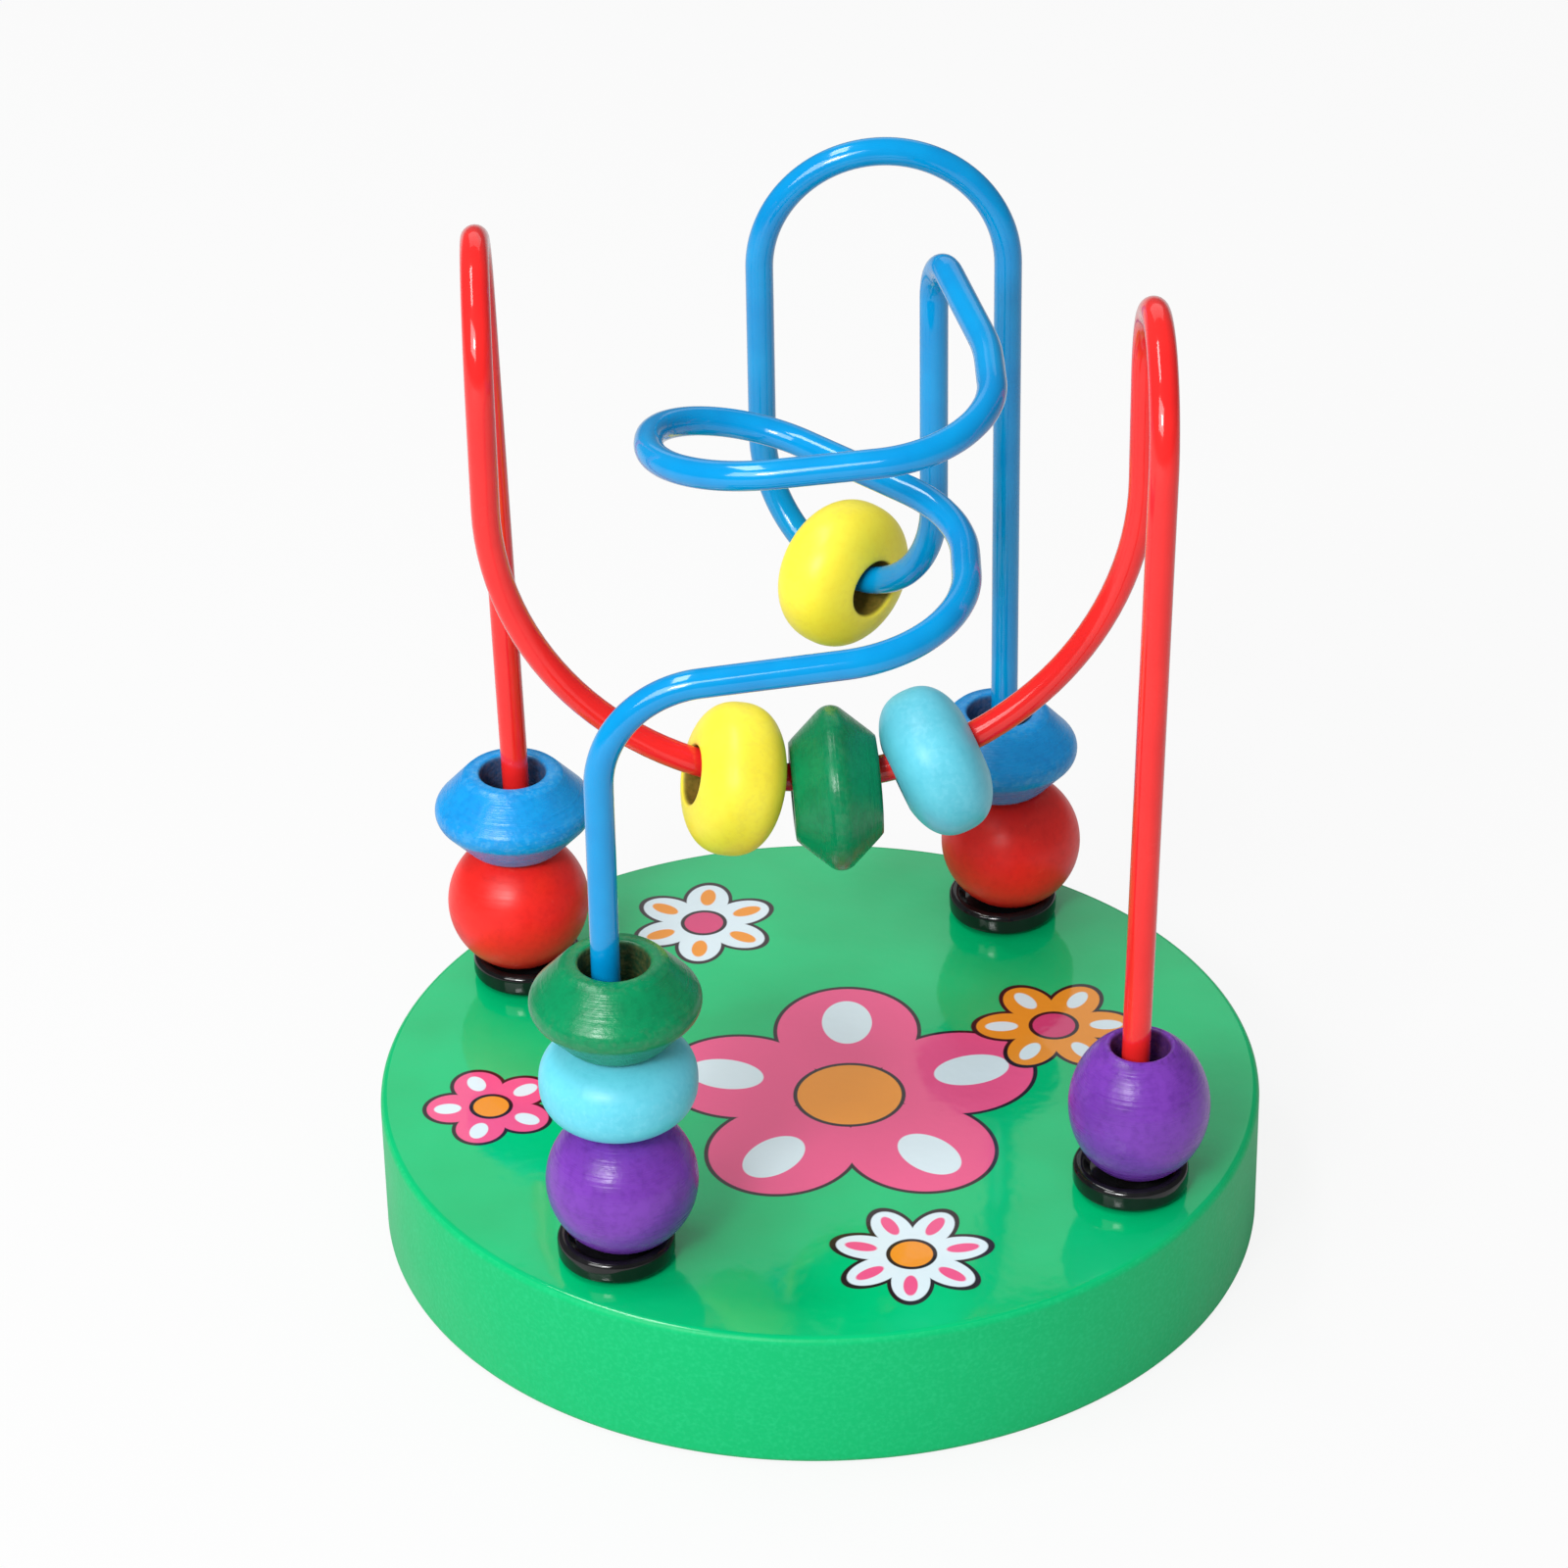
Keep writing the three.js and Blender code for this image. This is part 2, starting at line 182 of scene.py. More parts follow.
def stands_for(piece, node, material):
    """A finished piece takes the place of its CAD node and gets its material."""
    piece.data.materials.clear()
    piece.data.materials.append(material)
    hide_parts(node)
    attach(piece, body_of_node[node])


# Shader maths

class Value:
    """A value that changes over a surface. Arithmetic on it adds Math nodes."""

    def __init__(self, finish, socket):
        self.finish = finish
        self.socket = socket

    def math(self, operation, *others, first=None, clamp=False):
        numbers = [self if first is None else first, *others]
        if first is not None:
            numbers.append(self)
        settings = {"operation": operation, "use_clamp": clamp}
        return self.finish.node("ShaderNodeMath", settings, dict(enumerate(numbers)))

    def __add__(self, other):
        return self.math("ADD", other)

    def __sub__(self, other):
        return self.math("SUBTRACT", other)

    def __rsub__(self, other):
        return self.math("SUBTRACT", first=other)

    def __mul__(self, other):
        return self.math("MULTIPLY", other)

    def __truediv__(self, other):
        return self.math("DIVIDE", other)

    def __rtruediv__(self, other):
        return self.math("DIVIDE", first=other)

    def __pow__(self, other):
        return self.math("POWER", other)

    def __rpow__(self, other):
        return self.math("POWER", first=other)

    __radd__ = __add__
    __rmul__ = __mul__

    def ramp(self, low, high):
        """0 below low, 1 above high, and an even rise between them. High may be the lower one."""
        return ((self - low) * (1 / (high - low))).math("ADD", 0, clamp=True)


class Finish:
    """A material with a Principled shader, and the nodes that feed it."""

    def __init__(self, name):
        self.material = bpy.data.materials.new(name)
        self.material.use_nodes = True
        self.tree = self.material.node_tree
        self.shader = self.tree.nodes["Principled BSDF"]
        self.place = None

    def node(self, kind, settings, sockets, output=0):
        made = self.tree.nodes.new(kind)
        for name, setting in settings.items():
            setattr(made, name, setting)
        for name, value in sockets.items():
            self.feed(made.inputs[name], value)
        return Value(self, made.outputs[output])

    def feed(self, socket, value):
        if isinstance(value, Value):
            self.tree.links.new(value.socket, socket)
        else:
            socket.default_value = value

    def set(self, **sockets):
        for name, value in sockets.items():
            self.feed(self.shader.inputs[name.replace("_", " ")], value)

    def position(self):
        """The place on the object in millimetres."""
        if self.place is None:
            metres = self.node("ShaderNodeTexCoord", {}, {}, "Object")
            sockets = {0: metres, 1: (1 / MM, 1 / MM, 1 / MM)}
            self.place = self.node("ShaderNodeVectorMath", {"operation": "MULTIPLY"}, sockets)
        return self.place

    def coordinates(self):
        """The place's three measures, each by itself."""
        split = self.node("ShaderNodeSeparateXYZ", {}, {0: self.position()})
        return [Value(self, socket) for socket in split.socket.node.outputs]

    def noise(self, size, detail=2):
        """Noise whose lumps measure about size millimetres."""
        sockets = {"Vector": self.position(), "Scale": 1 / size, "Detail": detail}
        return self.node("ShaderNodeTexNoise", {}, sockets)

    def rings(self, along, size, detail):
        """Noise along one measure only."""
        sockets = {"W": along, "Scale": 1 / size, "Detail": detail}
        return self.node("ShaderNodeTexNoise", {"noise_dimensions": "1D"}, sockets)

    def attribute(self, name):
        return self.node("ShaderNodeAttribute", {"attribute_name": name}, {}, "Fac")

    def mix(self, colour, other, share):
        sockets = {0: share, 6: colour, 7: other}
        return self.node("ShaderNodeMix", {"data_type": "RGBA"}, sockets, 2)

    def bump(self, height, depth):
        """Height from 0 to 1 stands depth millimetres proud."""
        sockets = {"Height": height, "Distance": depth * MM, "Strength": 1.0}
        self.set(Normal=self.node("ShaderNodeBump", {}, sockets))


def colour(red, green, blue):
    """A colour given as it looks on a screen, from 0 to 255."""
    def linear(level):
        level /= 255
        return level / 12.92 if level <= 0.04045 else ((level + 0.055) / 1.055) ** 2.4
    return (linear(red), linear(green), linear(blue), 1.0)


# Print on the base: flowers, each with petals, a drop on every petal and an eye

INK = colour(38, 26, 30)
PINK = colour(224, 84, 132)
ROSE = colour(202, 62, 112)
WHITE = colour(208, 224, 230)
ORANGE = colour(226, 142, 40)
PRINT_LINE = 0.42
PRINT_BLUR = 0.1

# Places and lengths on a flower as shares of its reach
PETAL_MIDDLE = 0.6
PETAL_HALF_LENGTH = 0.4
DROP_MIDDLE = 0.68
DROP_HALF_LENGTH = 0.2
EYE_RADIUS = 0.27

# Widths as shares of the room that a petal has at its middle
PETAL_WIDTH = 0.85
DROP_WIDTH = 0.3

FLOWERS = [
    {"centre": (3, -4), "reach": 19.5, "petals": 5, "turn": 18, "paints": (PINK, WHITE, ORANGE)},
    {"centre": (24.5, 8), "reach": 8, "petals": 6, "turn": 0, "paints": (ORANGE, WHITE, ROSE)},
    {"centre": (8.5, -31.5), "reach": 7.5, "petals": 7, "turn": 10, "paints": (WHITE, PINK, ORANGE)},
    {"centre": (-12, 29), "reach": 7.5, "petals": 6, "turn": 25, "paints": (WHITE, ORANGE, ROSE)},
    {"centre": (-33.5, -5), "reach": 6.5, "petals": 5, "turn": 40, "paints": (PINK, WHITE, ORANGE)},
]


def flower(finish, ground, x, y, centre, reach, petals, turn, paints):
    """Prints one flower on the ground colour. The paints are those of its petals, drops and eye."""
    across = x - centre[0]
    away = y - centre[1]
    radius = (across * across + away * away) ** 0.5
    angle = away.math("ARCTAN2", across) - math.radians(turn)
    fold = (angle * petals).math("COSINE").math("ARCCOSINE") / petals
    along = radius * fold.math("COSINE")
    aside = radius * fold.math("SINE")

    def oval(middle, half_length, half_width):
        """Distance outside an oval that lies on the petal's line, in millimetres."""
        long = (along - middle) / half_length
        wide = aside / half_width
        return ((long * long + wide * wide) ** 0.5 - 1) * half_width

    room = PETAL_MIDDLE * reach * math.tan(math.pi / petals)
    petal = oval(PETAL_MIDDLE * reach, PETAL_HALF_LENGTH * reach, PETAL_WIDTH * room)
    drop = oval(DROP_MIDDLE * reach, DROP_HALF_LENGTH * reach, DROP_WIDTH * room)
    eye = radius - EYE_RADIUS * reach
    petal_paint, drop_paint, eye_paint = paints
    layers = [
        (petal - PRINT_LINE, INK),
        (petal, petal_paint),
        (drop, drop_paint),
        (eye - PRINT_LINE, INK),
        (eye, eye_paint),
    ]
    for distance, paint in layers:
        ground = finish.mix(ground, paint, distance.ramp(PRINT_BLUR, 0))
    return ground


# Paints and plastics. Sizes of lumps and depths of bumps are in millimetres, the other numbers are shares.

TOP_LAYER = 0.2
BARE_WOOD = colour(104, 72, 34)
DARK_PORES = colour(44, 27, 13)


def printed_lacquer():
    """Green lacquer: glossy and a little wavy over the print on top, duller and fibrous round the edge."""
    finish = Finish("green_lacquer_with_print")
    x, y, z = finish.coordinates()
    clouds = finish.noise(14).ramp(0.35, 0.65)
    print_colour = finish.mix(colour(0, 174, 104), colour(0, 184, 113), clouds)
    for design in FLOWERS:
        print_colour = flower(finish, print_colour, x, y, **design)
    fibres = finish.noise(0.45, detail=3).ramp(0.45, 0.75)
    edge_colour = finish.mix(colour(0, 178, 106), colour(50, 206, 142), 0.25 * fibres)
    on_top = z.ramp(BASE_THICKNESS - TOP_LAYER, BASE_THICKNESS - TOP_LAYER / 2)
    finish.set(
        Base_Color=finish.mix(edge_colour, print_colour, on_top),
        Roughness=0.38 - 0.3 * on_top + 0.06 * finish.noise(9).ramp(0.35, 0.7),
        Specular_IOR_Level=0.2,
        Coat_Weight=0.55 * on_top,
        Coat_Roughness=0.06,
    )
    orange_peel = 1.6 * finish.noise(1.5, detail=1) + 0.8 * finish.noise(4, detail=1)
    board_edge = finish.noise(0.5, detail=3) + finish.noise(2)
    finish.bump(board_edge * (1 - on_top) + orange_peel * on_top, depth=0.022)
    return finish.material


def wire_coating(name, main, deep):
    """A smooth, clear gloss over a slightly patchy colour."""
    finish = Finish(name)
    patches = finish.noise(6).ramp(0.35, 0.7)
    finish.set(
        Base_Color=finish.mix(main, deep, 0.55 * patches),
        Roughness=0.2 + 0.1 * finish.noise(2.5).ramp(0.4, 0.75),
        Specular_IOR_Level=0.05,
        Coat_Weight=0.9,
        Coat_Roughness=0.08,
    )
    finish.bump(finish.noise(1.4, detail=3), depth=0.02)
    return finish.material


def bead_paint(name, main, deep, rubbed, wear, ring_depth, roughness, bare_wood_and_shade_in_bore):
    """Satin paint on turned wood: fine rings from the lathe, small worn spots, thin paint in the bore,
    darkened there with bare wood and painted shade.
    """
    finish = Finish(name)
    bore = finish.attribute("bore")
    patches = finish.noise(4).ramp(0.35, 0.7)
    rings = finish.rings(finish.attribute("latitude"), 0.5, detail=3) * (0.4 + 0.6 * patches)
    grain = finish.noise(0.7, detail=3)
    mottling = 0.4 * patches + 0.35 * grain.ramp(0.45, 0.7) + 3 * ring_depth * rings.ramp(0.45, 0.75)
    paint = finish.mix(main, deep, mottling.math("MINIMUM", 1))
    worn_edges = finish.attribute("edge") * finish.noise(0.55, detail=4).ramp(0.5, 0.62)
    specks = finish.noise(0.8, detail=3).ramp(0.68, 0.74)
    paint = finish.mix(paint, rubbed, wear * (worn_edges + 0.5 * specks).math("MINIMUM", 1))
    pores = finish.noise(0.5, detail=3).ramp(0.35, 0.65)
    # The bore wall mixes deep paint with dark bare wood: partly wood showing through thin paint, partly
    # painted shade that darkens the recess.
    bore_wall_with_painted_shade = finish.mix(deep, finish.mix(BARE_WOOD, DARK_PORES, pores), bare_wood_and_shade_in_bore)
    finish.set(
        Base_Color=finish.mix(paint, bore_wall_with_painted_shade, bore),
        Roughness=roughness + 0.14 * rings.ramp(0.3, 0.7) + 0.25 * bore,
        Specular_IOR_Level=0.36,
    )
    finish.bump(rings + 0.6 * grain + 0.9 * bore * finish.noise(0.35, detail=3), depth=ring_depth)
    return finish.material


def black_plastic():
    finish = Finish("black_plastic")
    clouds = finish.noise(3).ramp(0.4, 0.7)
    finish.set(
        Base_Color=finish.mix(colour(14, 14, 15), colour(26, 26, 28), clouds),
        Roughness=0.08 + 0.1 * finish.noise(2).ramp(0.45, 0.75),
    )
    finish.bump(finish.noise(1.2), depth=0.015)
    return finish.material


# The last number of each paint is how much dark wood goes into its bore: bare wood showing through, and
# painted shade in the recess.
RED_BEAD = bead_paint(
    "red_bead_paint",
    main=colour(242, 36, 28), deep=colour(218, 22, 20), rubbed=colour(246, 120, 100),
    wear=0.2, ring_depth=0.012, roughness=0.34, bare_wood_and_shade_in_bore=0.3)
BLUE_BEAD = bead_paint(
    "blue_bead_paint",
    main=colour(16, 148, 218), deep=colour(4, 122, 196), rubbed=colour(120, 190, 226),
    wear=0.2, ring_depth=0.08, roughness=0.26, bare_wood_and_shade_in_bore=0.6)
PURPLE_BEAD = bead_paint(
    "purple_bead_paint",
    main=colour(118, 58, 172), deep=colour(88, 36, 138), rubbed=colour(70, 32, 104),
    wear=0.45, ring_depth=0.06, roughness=0.26, bare_wood_and_shade_in_bore=0.4)
GREEN_BEAD = bead_paint(
    "green_bead_paint",
    main=colour(0, 134, 82), deep=colour(0, 108, 66), rubbed=colour(84, 140, 104),
    wear=0.2, ring_depth=0.08, roughness=0.26, bare_wood_and_shade_in_bore=0.6)
YELLOW_BEAD = bead_paint(
    "yellow_bead_paint",
    main=colour(252, 238, 68), deep=colour(246, 226, 54), rubbed=colour(226, 206, 70),
    wear=0.2, ring_depth=0.012, roughness=0.36, bare_wood_and_shade_in_bore=0.85)
LIGHT_BLUE_BEAD = bead_paint(
    "light_blue_bead_paint",
    main=colour(100, 202, 222), deep=colour(84, 188, 210), rubbed=colour(150, 226, 244),
    wear=0.14, ring_depth=0.02, roughness=0.36, bare_wood_and_shade_in_bore=0.6)
RED_COATING = wire_coating("red_coating", main=colour(238, 40, 38), deep=colour(222, 30, 32))
BLUE_COATING = wire_coating("blue_coating", main=colour(0, 144, 206), deep=colour(0, 122, 188))
BLACK_PLASTIC = black_plastic()


# Base: a disc with rounded rims and four blind holes

def foot(quarter_turns):
    angle = math.radians(RIGHT_FOOT_ANGLE + 90 * quarter_turns)
    x = FOOT_CIRCLE_RADIUS * math.cos(angle)
    y = FOOT_CIRCLE_RADIUS * math.sin(angle)
    return Vector((x, y, FOOT_END_HEIGHT))


feet = {"right": foot(0), "back": foot(1), "left": foot(2), "front": foot(3)}


def drill(piece, place):
    deselect_all()
    bpy.ops.mesh.primitive_cylinder_add(
        vertices=HOLE_SIDES, radius=HOLE_DIAMETER / 2 * MM, depth=2 * HOLE_DEPTH * MM,
        location=(place.x * MM, place.y * MM, BASE_THICKNESS * MM))
    cutter = bpy.context.object
    make_active(piece)
    hole = piece.modifiers.new("hole", "BOOLEAN")
    hole.operation = "DIFFERENCE"
    hole.object = cutter
    bpy.ops.object.modifier_apply(modifier="hole")
    bpy.data.objects.remove(cutter)


def select_rims(disc):
    """Leaves the edges that run round the two rims of a disc selected."""
    bpy.ops.object.mode_set(mode="EDIT")
    bpy.ops.mesh.select_mode(type="EDGE")
    bpy.ops.mesh.select_all(action="DESELECT")
    bpy.ops.object.mode_set(mode="OBJECT")
    for edge in disc.data.edges:
        ends = [disc.data.vertices[i].co.z for i in edge.vertices]
        edge.select = abs(ends[0] - ends[1]) < BASE_THICKNESS / 2 * MM


def round_base():
    deselect_all()
    bpy.ops.mesh.primitive_cylinder_add(
        vertices=BASE_SIDES, radius=BASE_DIAMETER / 2 * MM, depth=BASE_THICKNESS * MM,
        location=(0, 0, BASE_THICKNESS / 2 * MM))
    base = bpy.context.object
    base.name = "lacquered_base"
    apply_place(base)
    select_rims(base)
    bpy.ops.object.mode_set(mode="EDIT")
    bpy.ops.mesh.bevel(offset=BASE_EDGE_ROUND * MM, segments=6, affect="EDGES")
    bpy.ops.mesh.select_mode(type="VERT")
    bpy.ops.object.mode_set(mode="OBJECT")
    for place in feet.values():
        drill(base, place)
    smooth(base, sharp_angle=35)
    return base


stands_for(round_base(), "base_board", printed_lacquer())


# Wires: straights and bends through corner points, as a curve with a round section

def bent_route(start, corners, end):
    """Points along a wire whose corners are rounded, each to its own bend radius."""
    points = [start]
    places = [start, *[place for place, bend in corners], end]
    for i, (place, bend) in enumerate(corners):
        along = (place - places[i]).normalized()
        leaving = (places[i + 2] - place).normalized()
        angle = along.angle(leaving)
        inward = (leaving - along * leaving.dot(along)).normalized()
        bend_start = place - along * bend * math.tan(angle / 2)
        steps = math.ceil(angle / math.radians(BEND_STEP))
        for step in range(steps + 1):
            turn = angle * step / steps
            points.append(bend_start + along * bend * math.sin(turn) + inward * bend * (1 - math.cos(turn)))
    points.append(end)
    return points


def without_repeats(route):
    """A route without the points where one bend ends and the next begins in the same place."""
    same_place = 0.01
    return [point for i, point in enumerate(route) if i == 0 or (point - route[i - 1]).length > same_place]


def coated_wire(name, route):
    curve = bpy.data.curves.new(name, "CURVE")
    curve.dimensions = "3D"
    curve.bevel_depth = WIRE_DIAMETER / 2 * MM
    curve.bevel_resolution = 10
    curve.use_fill_caps = True
    spline = curve.splines.new("POLY")
    places = without_repeats(route)
    spline.points.add(len(places) - 1)
    for point, place in zip(spline.points, places):
        point.co = (*(place * MM), 1)
    wire = bpy.data.objects.new(name, curve)
    bpy.context.scene.collection.objects.link(wire)
    make_active(wire)
    bpy.ops.object.convert(target="MESH")
    wire = bpy.context.object
    in_edit_mode(wire, close_and_face_outwards)
    smooth(wire, sharp_angle=50)
    return wire


def swoop_end(side, height):
    reach = side * SWOOP_RADIUS
    turn = math.radians(SWOOP_TURN)
    return Vector((SWOOP_SHIFT + reach * math.cos(turn), reach * math.sin(turn), height))


def red_post(place, side):
    """Corners from a foot of the red wire up its post and over the U-turn to the swoop."""
    post_top = Vector((side * (SWOOP_RADIUS + POST_TOP_SPLAY), place.y, WIRE_TOP))
    arm_top = swoop_end(side, WIRE_TOP)
    turn_bend = ((post_top - arm_top).length - TURN_FLAT) / 2
    return [
        (Vector((place.x, place.y, BUSH_TOP)), POST_FOOT_BEND),
        (post_top, turn_bend),
        (arm_top, turn_bend),
    ]


red_route = bent_route(feet["left"], [
    *red_post(feet["left"], -1),
    (swoop_end(-1, SWOOP_LOWEST), SWOOP_RADIUS),
    (swoop_end(1, SWOOP_LOWEST), SWOOP_RADIUS),
    *reversed(red_post(feet["right"], 1)),
], feet["right"])
stands_for(coated_wire("coated_red_wire", red_route), "red_wire", RED_COATING)


def climbing_corners():
    """Corners of the blue wire from the front post to the strand: a plan, and the climb along it."""
    plan = [
        (feet["front"].x, feet["front"].y, FRONT_POST_BEND),
        (FRONT_RUN_RIGHT, feet["front"].y, FRONT_RUN_BEND),
        (FRONT_RUN_RIGHT, LOOP_ENTRY_Y, LOOP_ENTRY_BEND),
        (LOOP_BACK_LEFT_X, LOOP_BACK_LEFT_Y, LOOP_BACK_LEFT_BEND),
        (LOOP_FRONT_LEFT_X, LOOP_FRONT_LEFT_Y, LOOP_FRONT_LEFT_BEND),
        (LOOP_FRONT_RIGHT_X, LOOP_FRONT_RIGHT_Y, LOOP_FRONT_RIGHT_BEND),
        (LOOP_EXIT_X, LOOP_EXIT_Y, LOOP_EXIT_BEND),
        (STRAND_X, STRAND_Y, STRAND_BEND),
    ]
    height = FRONT_POST_HEIGHT
    corners = []
    for i, (x, y, bend) in enumerate(plan):
        if i > 0:
            height += LOOP_CLIMB_RATIO * math.hypot(x - plan[i - 1][0], y - plan[i - 1][1])
        corners.append((Vector((x, y, height)), bend))
    return corners


bight_start = Vector((STRAND_X, STRAND_Y, BIGHT_LOWEST))
bight_end = Vector((ARCH_LEFT, feet["back"].y, BIGHT_LOWEST))
bight_bend = (bight_start - bight_end).length / 2
arch_bend = (feet["back"].x - ARCH_LEFT) / 2
blue_route = bent_route(feet["front"], [
    *climbing_corners(),
    (bight_start, bight_bend),
    (bight_end, bight_bend),
    (Vector((ARCH_LEFT, feet["back"].y, WIRE_TOP)), arch_bend),
    (Vector((feet["back"].x, feet["back"].y, WIRE_TOP)), arch_bend),
], feet["back"])
stands_for(coated_wire("coated_blue_wire", blue_route), "blue_wire", BLUE_COATING)


# Turned pieces: a closed outline of radius and height, spun about the upright axis

def arc(centre, radius, start, end, steps):
    points = []
    for i in range(steps + 1):
        angle = math.radians(start + (end - start) * i / steps)
        points.append((centre[0] + radius * math.cos(angle), centre[1] + radius * math.sin(angle)))
    return points


def points_between(start, end, steps):
    """The points between two points, without them."""
    return [tuple(a + (b - a) * i / steps for a, b in zip(start, end)) for i in range(1, steps)]


def spin_round():
    bpy.ops.mesh.spin(steps=TURNED_SIDES, angle=2 * math.pi, center=(0, 0, 0), axis=(0, 0, 1))


def turned(name, outline):
    deselect_all()
    bpy.ops.mesh.primitive_circle_add(vertices=len(outline), radius=MM)
    piece = bpy.context.object
    piece.name = name
    for vertex, (radius, height) in zip(piece.data.vertices, outline):
        vertex.co = (radius * MM, 0, height * MM)
    in_edit_mode(piece, spin_round, close_and_face_outwards)
    return piece


def bush(name, place):
    rim_centre = BUSH_FLANGE / 2 - BUSH_RIM_ROUND
    piece = turned(name, [
        (BUSH_BORE / 2, BUSH_SHANK_END),
        (BUSH_SHANK / 2, BUSH_SHANK_END),
        (BUSH_SHANK / 2, BUSH_BOTTOM),
        *arc((rim_centre, BUSH_BOTTOM + BUSH_RIM_ROUND), BUSH_RIM_ROUND, -90, 0, steps=6),
        *arc((rim_centre, BUSH_TOP - BUSH_RIM_ROUND), BUSH_RIM_ROUND, 0, 150, steps=10),
        (BUSH_DISH_DIAMETER / 2, BUSH_DISH_FLOOR),
        (BUSH_BORE / 2, BUSH_DISH_FLOOR),
    ])
    piece.location = (place.x * MM, place.y * MM, 0)
    apply_place(piece)
    smooth(piece, sharp_angle=40)
    return piece


for side, place in feet.items():
    stands_for(bush(f"glossy_bush_{side}", place), f"bush_{side}", BLACK_PLASTIC)


# Beads

def rim(outer, inner):
    """Points of a rounded rim, from the outside of a bead, without that point, to the wall of its bore."""
    corner = (inner[0], outer[1])
    steps = 4
    points = []
    for i in range(1, steps + 1):
        t = i / steps
        shares = ((1 - t) ** 2, 2 * t * (1 - t), t * t)
        points.append(tuple(sum(share * at for share, at in zip(shares, places))
                            for places in zip(outer, corner, inner)))
    return points


def with_bore(outside, bore):
    """Closes an outline with a bore wall, its rims rounded. Outside runs from the lower to the upper rim."""
    upper = (bore / 2, outside[-1][1] - BORE_RIM_ROUND)
    lower = (bore / 2, -upper[1])
    wall = points_between(upper, lower, steps=8)
    lower_rim = list(reversed(rim(outside[0], lower)))
    return [*outside, *rim(outside[-1], upper), *wall, *lower_rim]


def rounded_outline(diameter, height, power, bore):
    """A squared oval turned about its bore: squarer as the power grows."""
    radius = diameter / 2
    rim_radius = bore / 2 + BORE_RIM_ROUND
    rim_angle = math.acos((rim_radius / radius) ** (power / 2))
    steps = 40
    outside = []
    for i in range(steps + 1):
        angle = rim_angle * (2 * i / steps - 1)
        across = math.cos(angle) ** (2 / power)
        along = math.copysign(abs(math.sin(angle)) ** (2 / power), angle)
        outside.append((radius * across, height / 2 * along))
    return with_bore(outside, bore)


def bicone_outline(diameter, height, face, edge_round, bore):
    """Two cones base to base, with a rounded edge between them and a flat face on each end."""
    radius = diameter / 2
    half = height / 2
    cone_steps = 8
    slope = math.degrees(math.atan2(radius - face / 2, half))
    edge = arc((radius - edge_round, 0), edge_round, -slope, slope, steps=10)
    cone_start = (face / 2 + CONE_START_REACH, half - CONE_START_DROP)
    face_edge = (face / 2 + FACE_EDGE_REACH, half - FACE_EDGE_DROP)
    face_start = (face / 2 - FACE_ROUND_INSET, half)
    upper = [*points_between(edge[-1], cone_start, cone_steps), cone_start, face_edge, face_start]
    lower = [(r, -h) for r, h in reversed(upper)]
    return with_bore([*lower, *edge, *upper], bore)


def measure_turning(piece, bore, half_height):
    """Keeps on each point its place along the outline, and how far it is in the bore or on a rubbed edge."""
    flat = half_height < FLAT_BEAD_HALF_HEIGHT
    widest = max(math.hypot(v.co.x, v.co.y) for v in piece.data.vertices) / MM
    latitude = piece.data.attributes.new("latitude", "FLOAT", "POINT")
    inside = piece.data.attributes.new("bore", "FLOAT", "POINT")
    edge = piece.data.attributes.new("edge", "FLOAT", "POINT")
    for vertex in piece.data.vertices:
        radius = math.hypot(vertex.co.x, vertex.co.y) / MM
        height = vertex.co.z / MM
        latitude.data[vertex.index].value = 0.5 * widest * math.atan2(height, radius) + 0.5 * height
        inside.data[vertex.index].value = max(0, min(1, (bore / 2 + BORE_FADE - radius) / BORE_FADE))
        near_rim = max(0, 1 - abs(abs(height) - half_height) / RUBBED_RIM)
        near_girth = max(0, 1 - (widest - radius) / RUBBED_GIRTH) if flat else 0
        edge.data[vertex.index].value = max(near_rim, near_girth)


def turning_axis(node):
    """The axis of a turned CAD bead: the one direction in which its points spread unlike in the other two."""
    points = np.array([vertex.co for vertex in frame["nodes"][node].data.vertices])
    spread, directions = np.linalg.eigh(np.cov(points.T))
    axis = 0 if spread[1] - spread[0] > spread[2] - spread[1] else 2
    return Vector(directions[:, axis])


def bead(node, outline, bore, material):
    low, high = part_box(node)
    piece = turned("painted_" + node, outline)
    measure_turning(piece, bore, half_height=max(height for radius, height in outline))
    piece.rotation_mode = "QUATERNION"
    piece.rotation_quaternion = turning_axis(node).to_track_quat("Z", "Y")
    piece.location = (low + high) / 2
    apply_place(piece)
    smooth(piece, sharp_angle=50)
    stands_for(piece, node, material)


def rounded_bead(node, shape, material):
    bead(node, rounded_outline(**shape), shape["bore"], material)


def bicone_bead(node, material):
    bead(node, bicone_outline(**BICONE), BICONE["bore"], material)


rounded_bead("bead_left_ball", BALL, RED_BEAD)
bicone_bead("bead_left_bicone", BLUE_BEAD)
rounded_bead("bead_front_ball", BALL, PURPLE_BEAD)
rounded_bead("bead_front_oval", OVAL, LIGHT_BLUE_BEAD)
bicone_bead("bead_front_bicone", GREEN_BEAD)
rounded_bead("bead_right_ball", TALL_BALL, PURPLE_BEAD)
rounded_bead("bead_back_ball", BALL, RED_BEAD)
bicone_bead("bead_back_bicone", BLUE_BEAD)
rounded_bead("bead_swoop_yellow", OVAL, YELLOW_BEAD)
bicone_bead("bead_swoop_green", GREEN_BEAD)
rounded_bead("bead_swoop_light_blue", OVAL, LIGHT_BLUE_BEAD)
rounded_bead("bead_bight_yellow", OVAL, YELLOW_BEAD)


# Floor, light and camera, in metres and watts. The lens and its sensor are in millimetres.

FLOOR_RADIUS = 3
FLOOR_GREY = 0.62
FLOOR_GLOW = 0.88
ROOM_LIGHT = 0.48
ROOM_IN_GLOSS = 0.12
LIT_POINT = Vector((0, 0, 0.05))

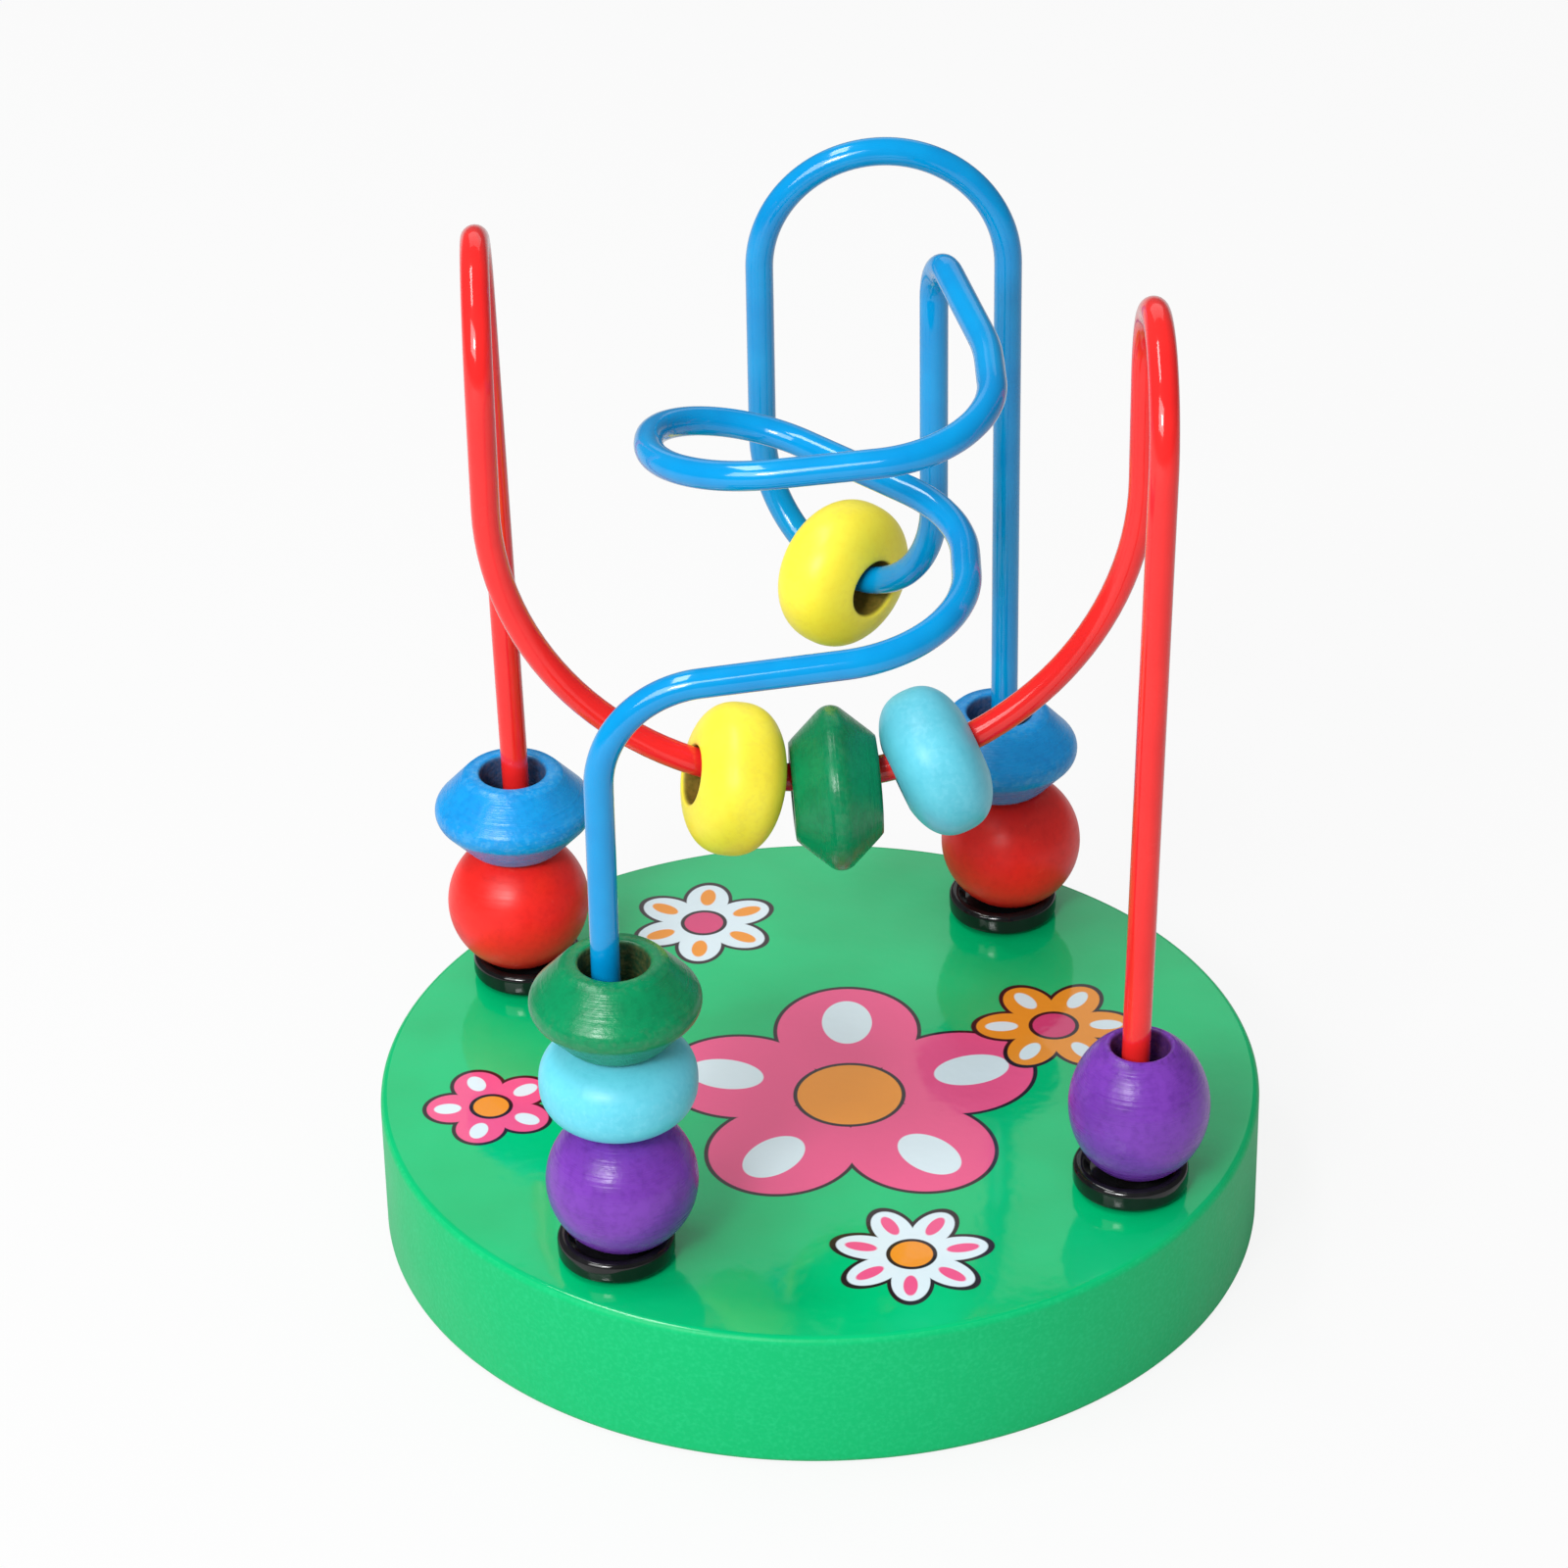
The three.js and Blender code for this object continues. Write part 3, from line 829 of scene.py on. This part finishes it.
CAMERA_PLACE = (-0.00312, -0.42873, 0.30727)
CAMERA_RIGHT = Vector((0.99985, -0.00899, -0.01496))
CAMERA_UP = Vector((0.01745, 0.51496, 0.85704))
CAMERA_LENS = 115.88
CAMERA_SENSOR = 36


def seen_directly(finish):
    """1 where the camera looks at it, and 0 where it only gives light."""
    return finish.node("ShaderNodeLightPath", {}, {}, "Is Camera Ray")


def pale_floor():
    """A floor that looks nearly white, yet keeps a faint shadow."""
    deselect_all()
    bpy.ops.mesh.primitive_circle_add(
        vertices=96, radius=FLOOR_RADIUS, fill_type="NGON", location=(0, 0, -0.05 * MM))
    floor = bpy.context.object
    floor.name = "floor"
    finish = Finish("pale_floor")
    finish.set(Base_Color=(FLOOR_GREY, FLOOR_GREY, FLOOR_GREY, 1), Roughness=0.9)
    matt = Value(finish, finish.shader.outputs[0])
    glow = finish.node("ShaderNodeEmission", {}, {"Color": (1, 1, 1, 1), "Strength": 1.0})
    share = FLOOR_GLOW * seen_directly(finish)
    surface = finish.node("ShaderNodeMixShader", {}, {0: share, 1: matt, 2: glow})
    output = finish.tree.nodes["Material Output"]
    finish.tree.links.new(surface.socket, output.inputs["Surface"])
    floor.data.materials.append(finish.material)


class Surroundings(Finish):
    """The room round the object: white where it is seen, dim where it is mirrored."""

    def __init__(self):
        world = bpy.data.worlds.new("white_room")
        bpy.context.scene.world = world
        world.use_nodes = True
        self.tree = world.node_tree
        self.shader = self.tree.nodes["Background"]
        seen = seen_directly(self)
        mirrored = self.node("ShaderNodeLightPath", {}, {}, "Is Glossy Ray")
        strength = ROOM_LIGHT + (1 - ROOM_LIGHT) * seen - (ROOM_LIGHT - ROOM_IN_GLOSS) * mirrored
        self.set(Color=(1, 1, 1, 1), Strength=strength)


def softbox(name, place, size, power):
    light = bpy.data.lights.new(name, "AREA")
    light.shape = "RECTANGLE"
    light.size = size[0]
    light.size_y = size[1]
    light.energy = power
    lamp = bpy.data.objects.new(name, light)
    bpy.context.scene.collection.objects.link(lamp)
    lamp.location = place
    aim = LIT_POINT - Vector(place)
    lamp.rotation_euler = aim.to_track_quat("-Z", "Y").to_euler()


def photo_camera():
    lens = bpy.data.cameras.new("photo_camera")
    lens.sensor_width = CAMERA_SENSOR
    lens.lens = CAMERA_LENS
    lens.clip_start = 0.01
    camera = bpy.data.objects.new("photo_camera", lens)
    bpy.context.scene.collection.objects.link(camera)
    backward = CAMERA_RIGHT.cross(CAMERA_UP)
    turned_to = Matrix((CAMERA_RIGHT, CAMERA_UP, backward)).transposed()
    camera.matrix_world = Matrix.Translation(CAMERA_PLACE) @ turned_to.to_4x4()
    bpy.context.scene.camera = camera


pale_floor()
Surroundings()
softbox("key_softbox", place=(-0.36, -0.55, 0.51), size=(0.5, 0.36), power=3.7)
softbox("accent_softbox", place=(-0.26, -0.59, 0.5), size=(0.14, 0.1), power=1.9)
softbox("top_softbox", place=(-0.3, 0.02, 0.75), size=(0.5, 0.14), power=2.4)
softbox("back_card", place=(0, 0.86, 0.55), size=(0.7, 0.45), power=0.6)
photo_camera()
bpy.context.scene.view_settings.view_transform = "Standard"
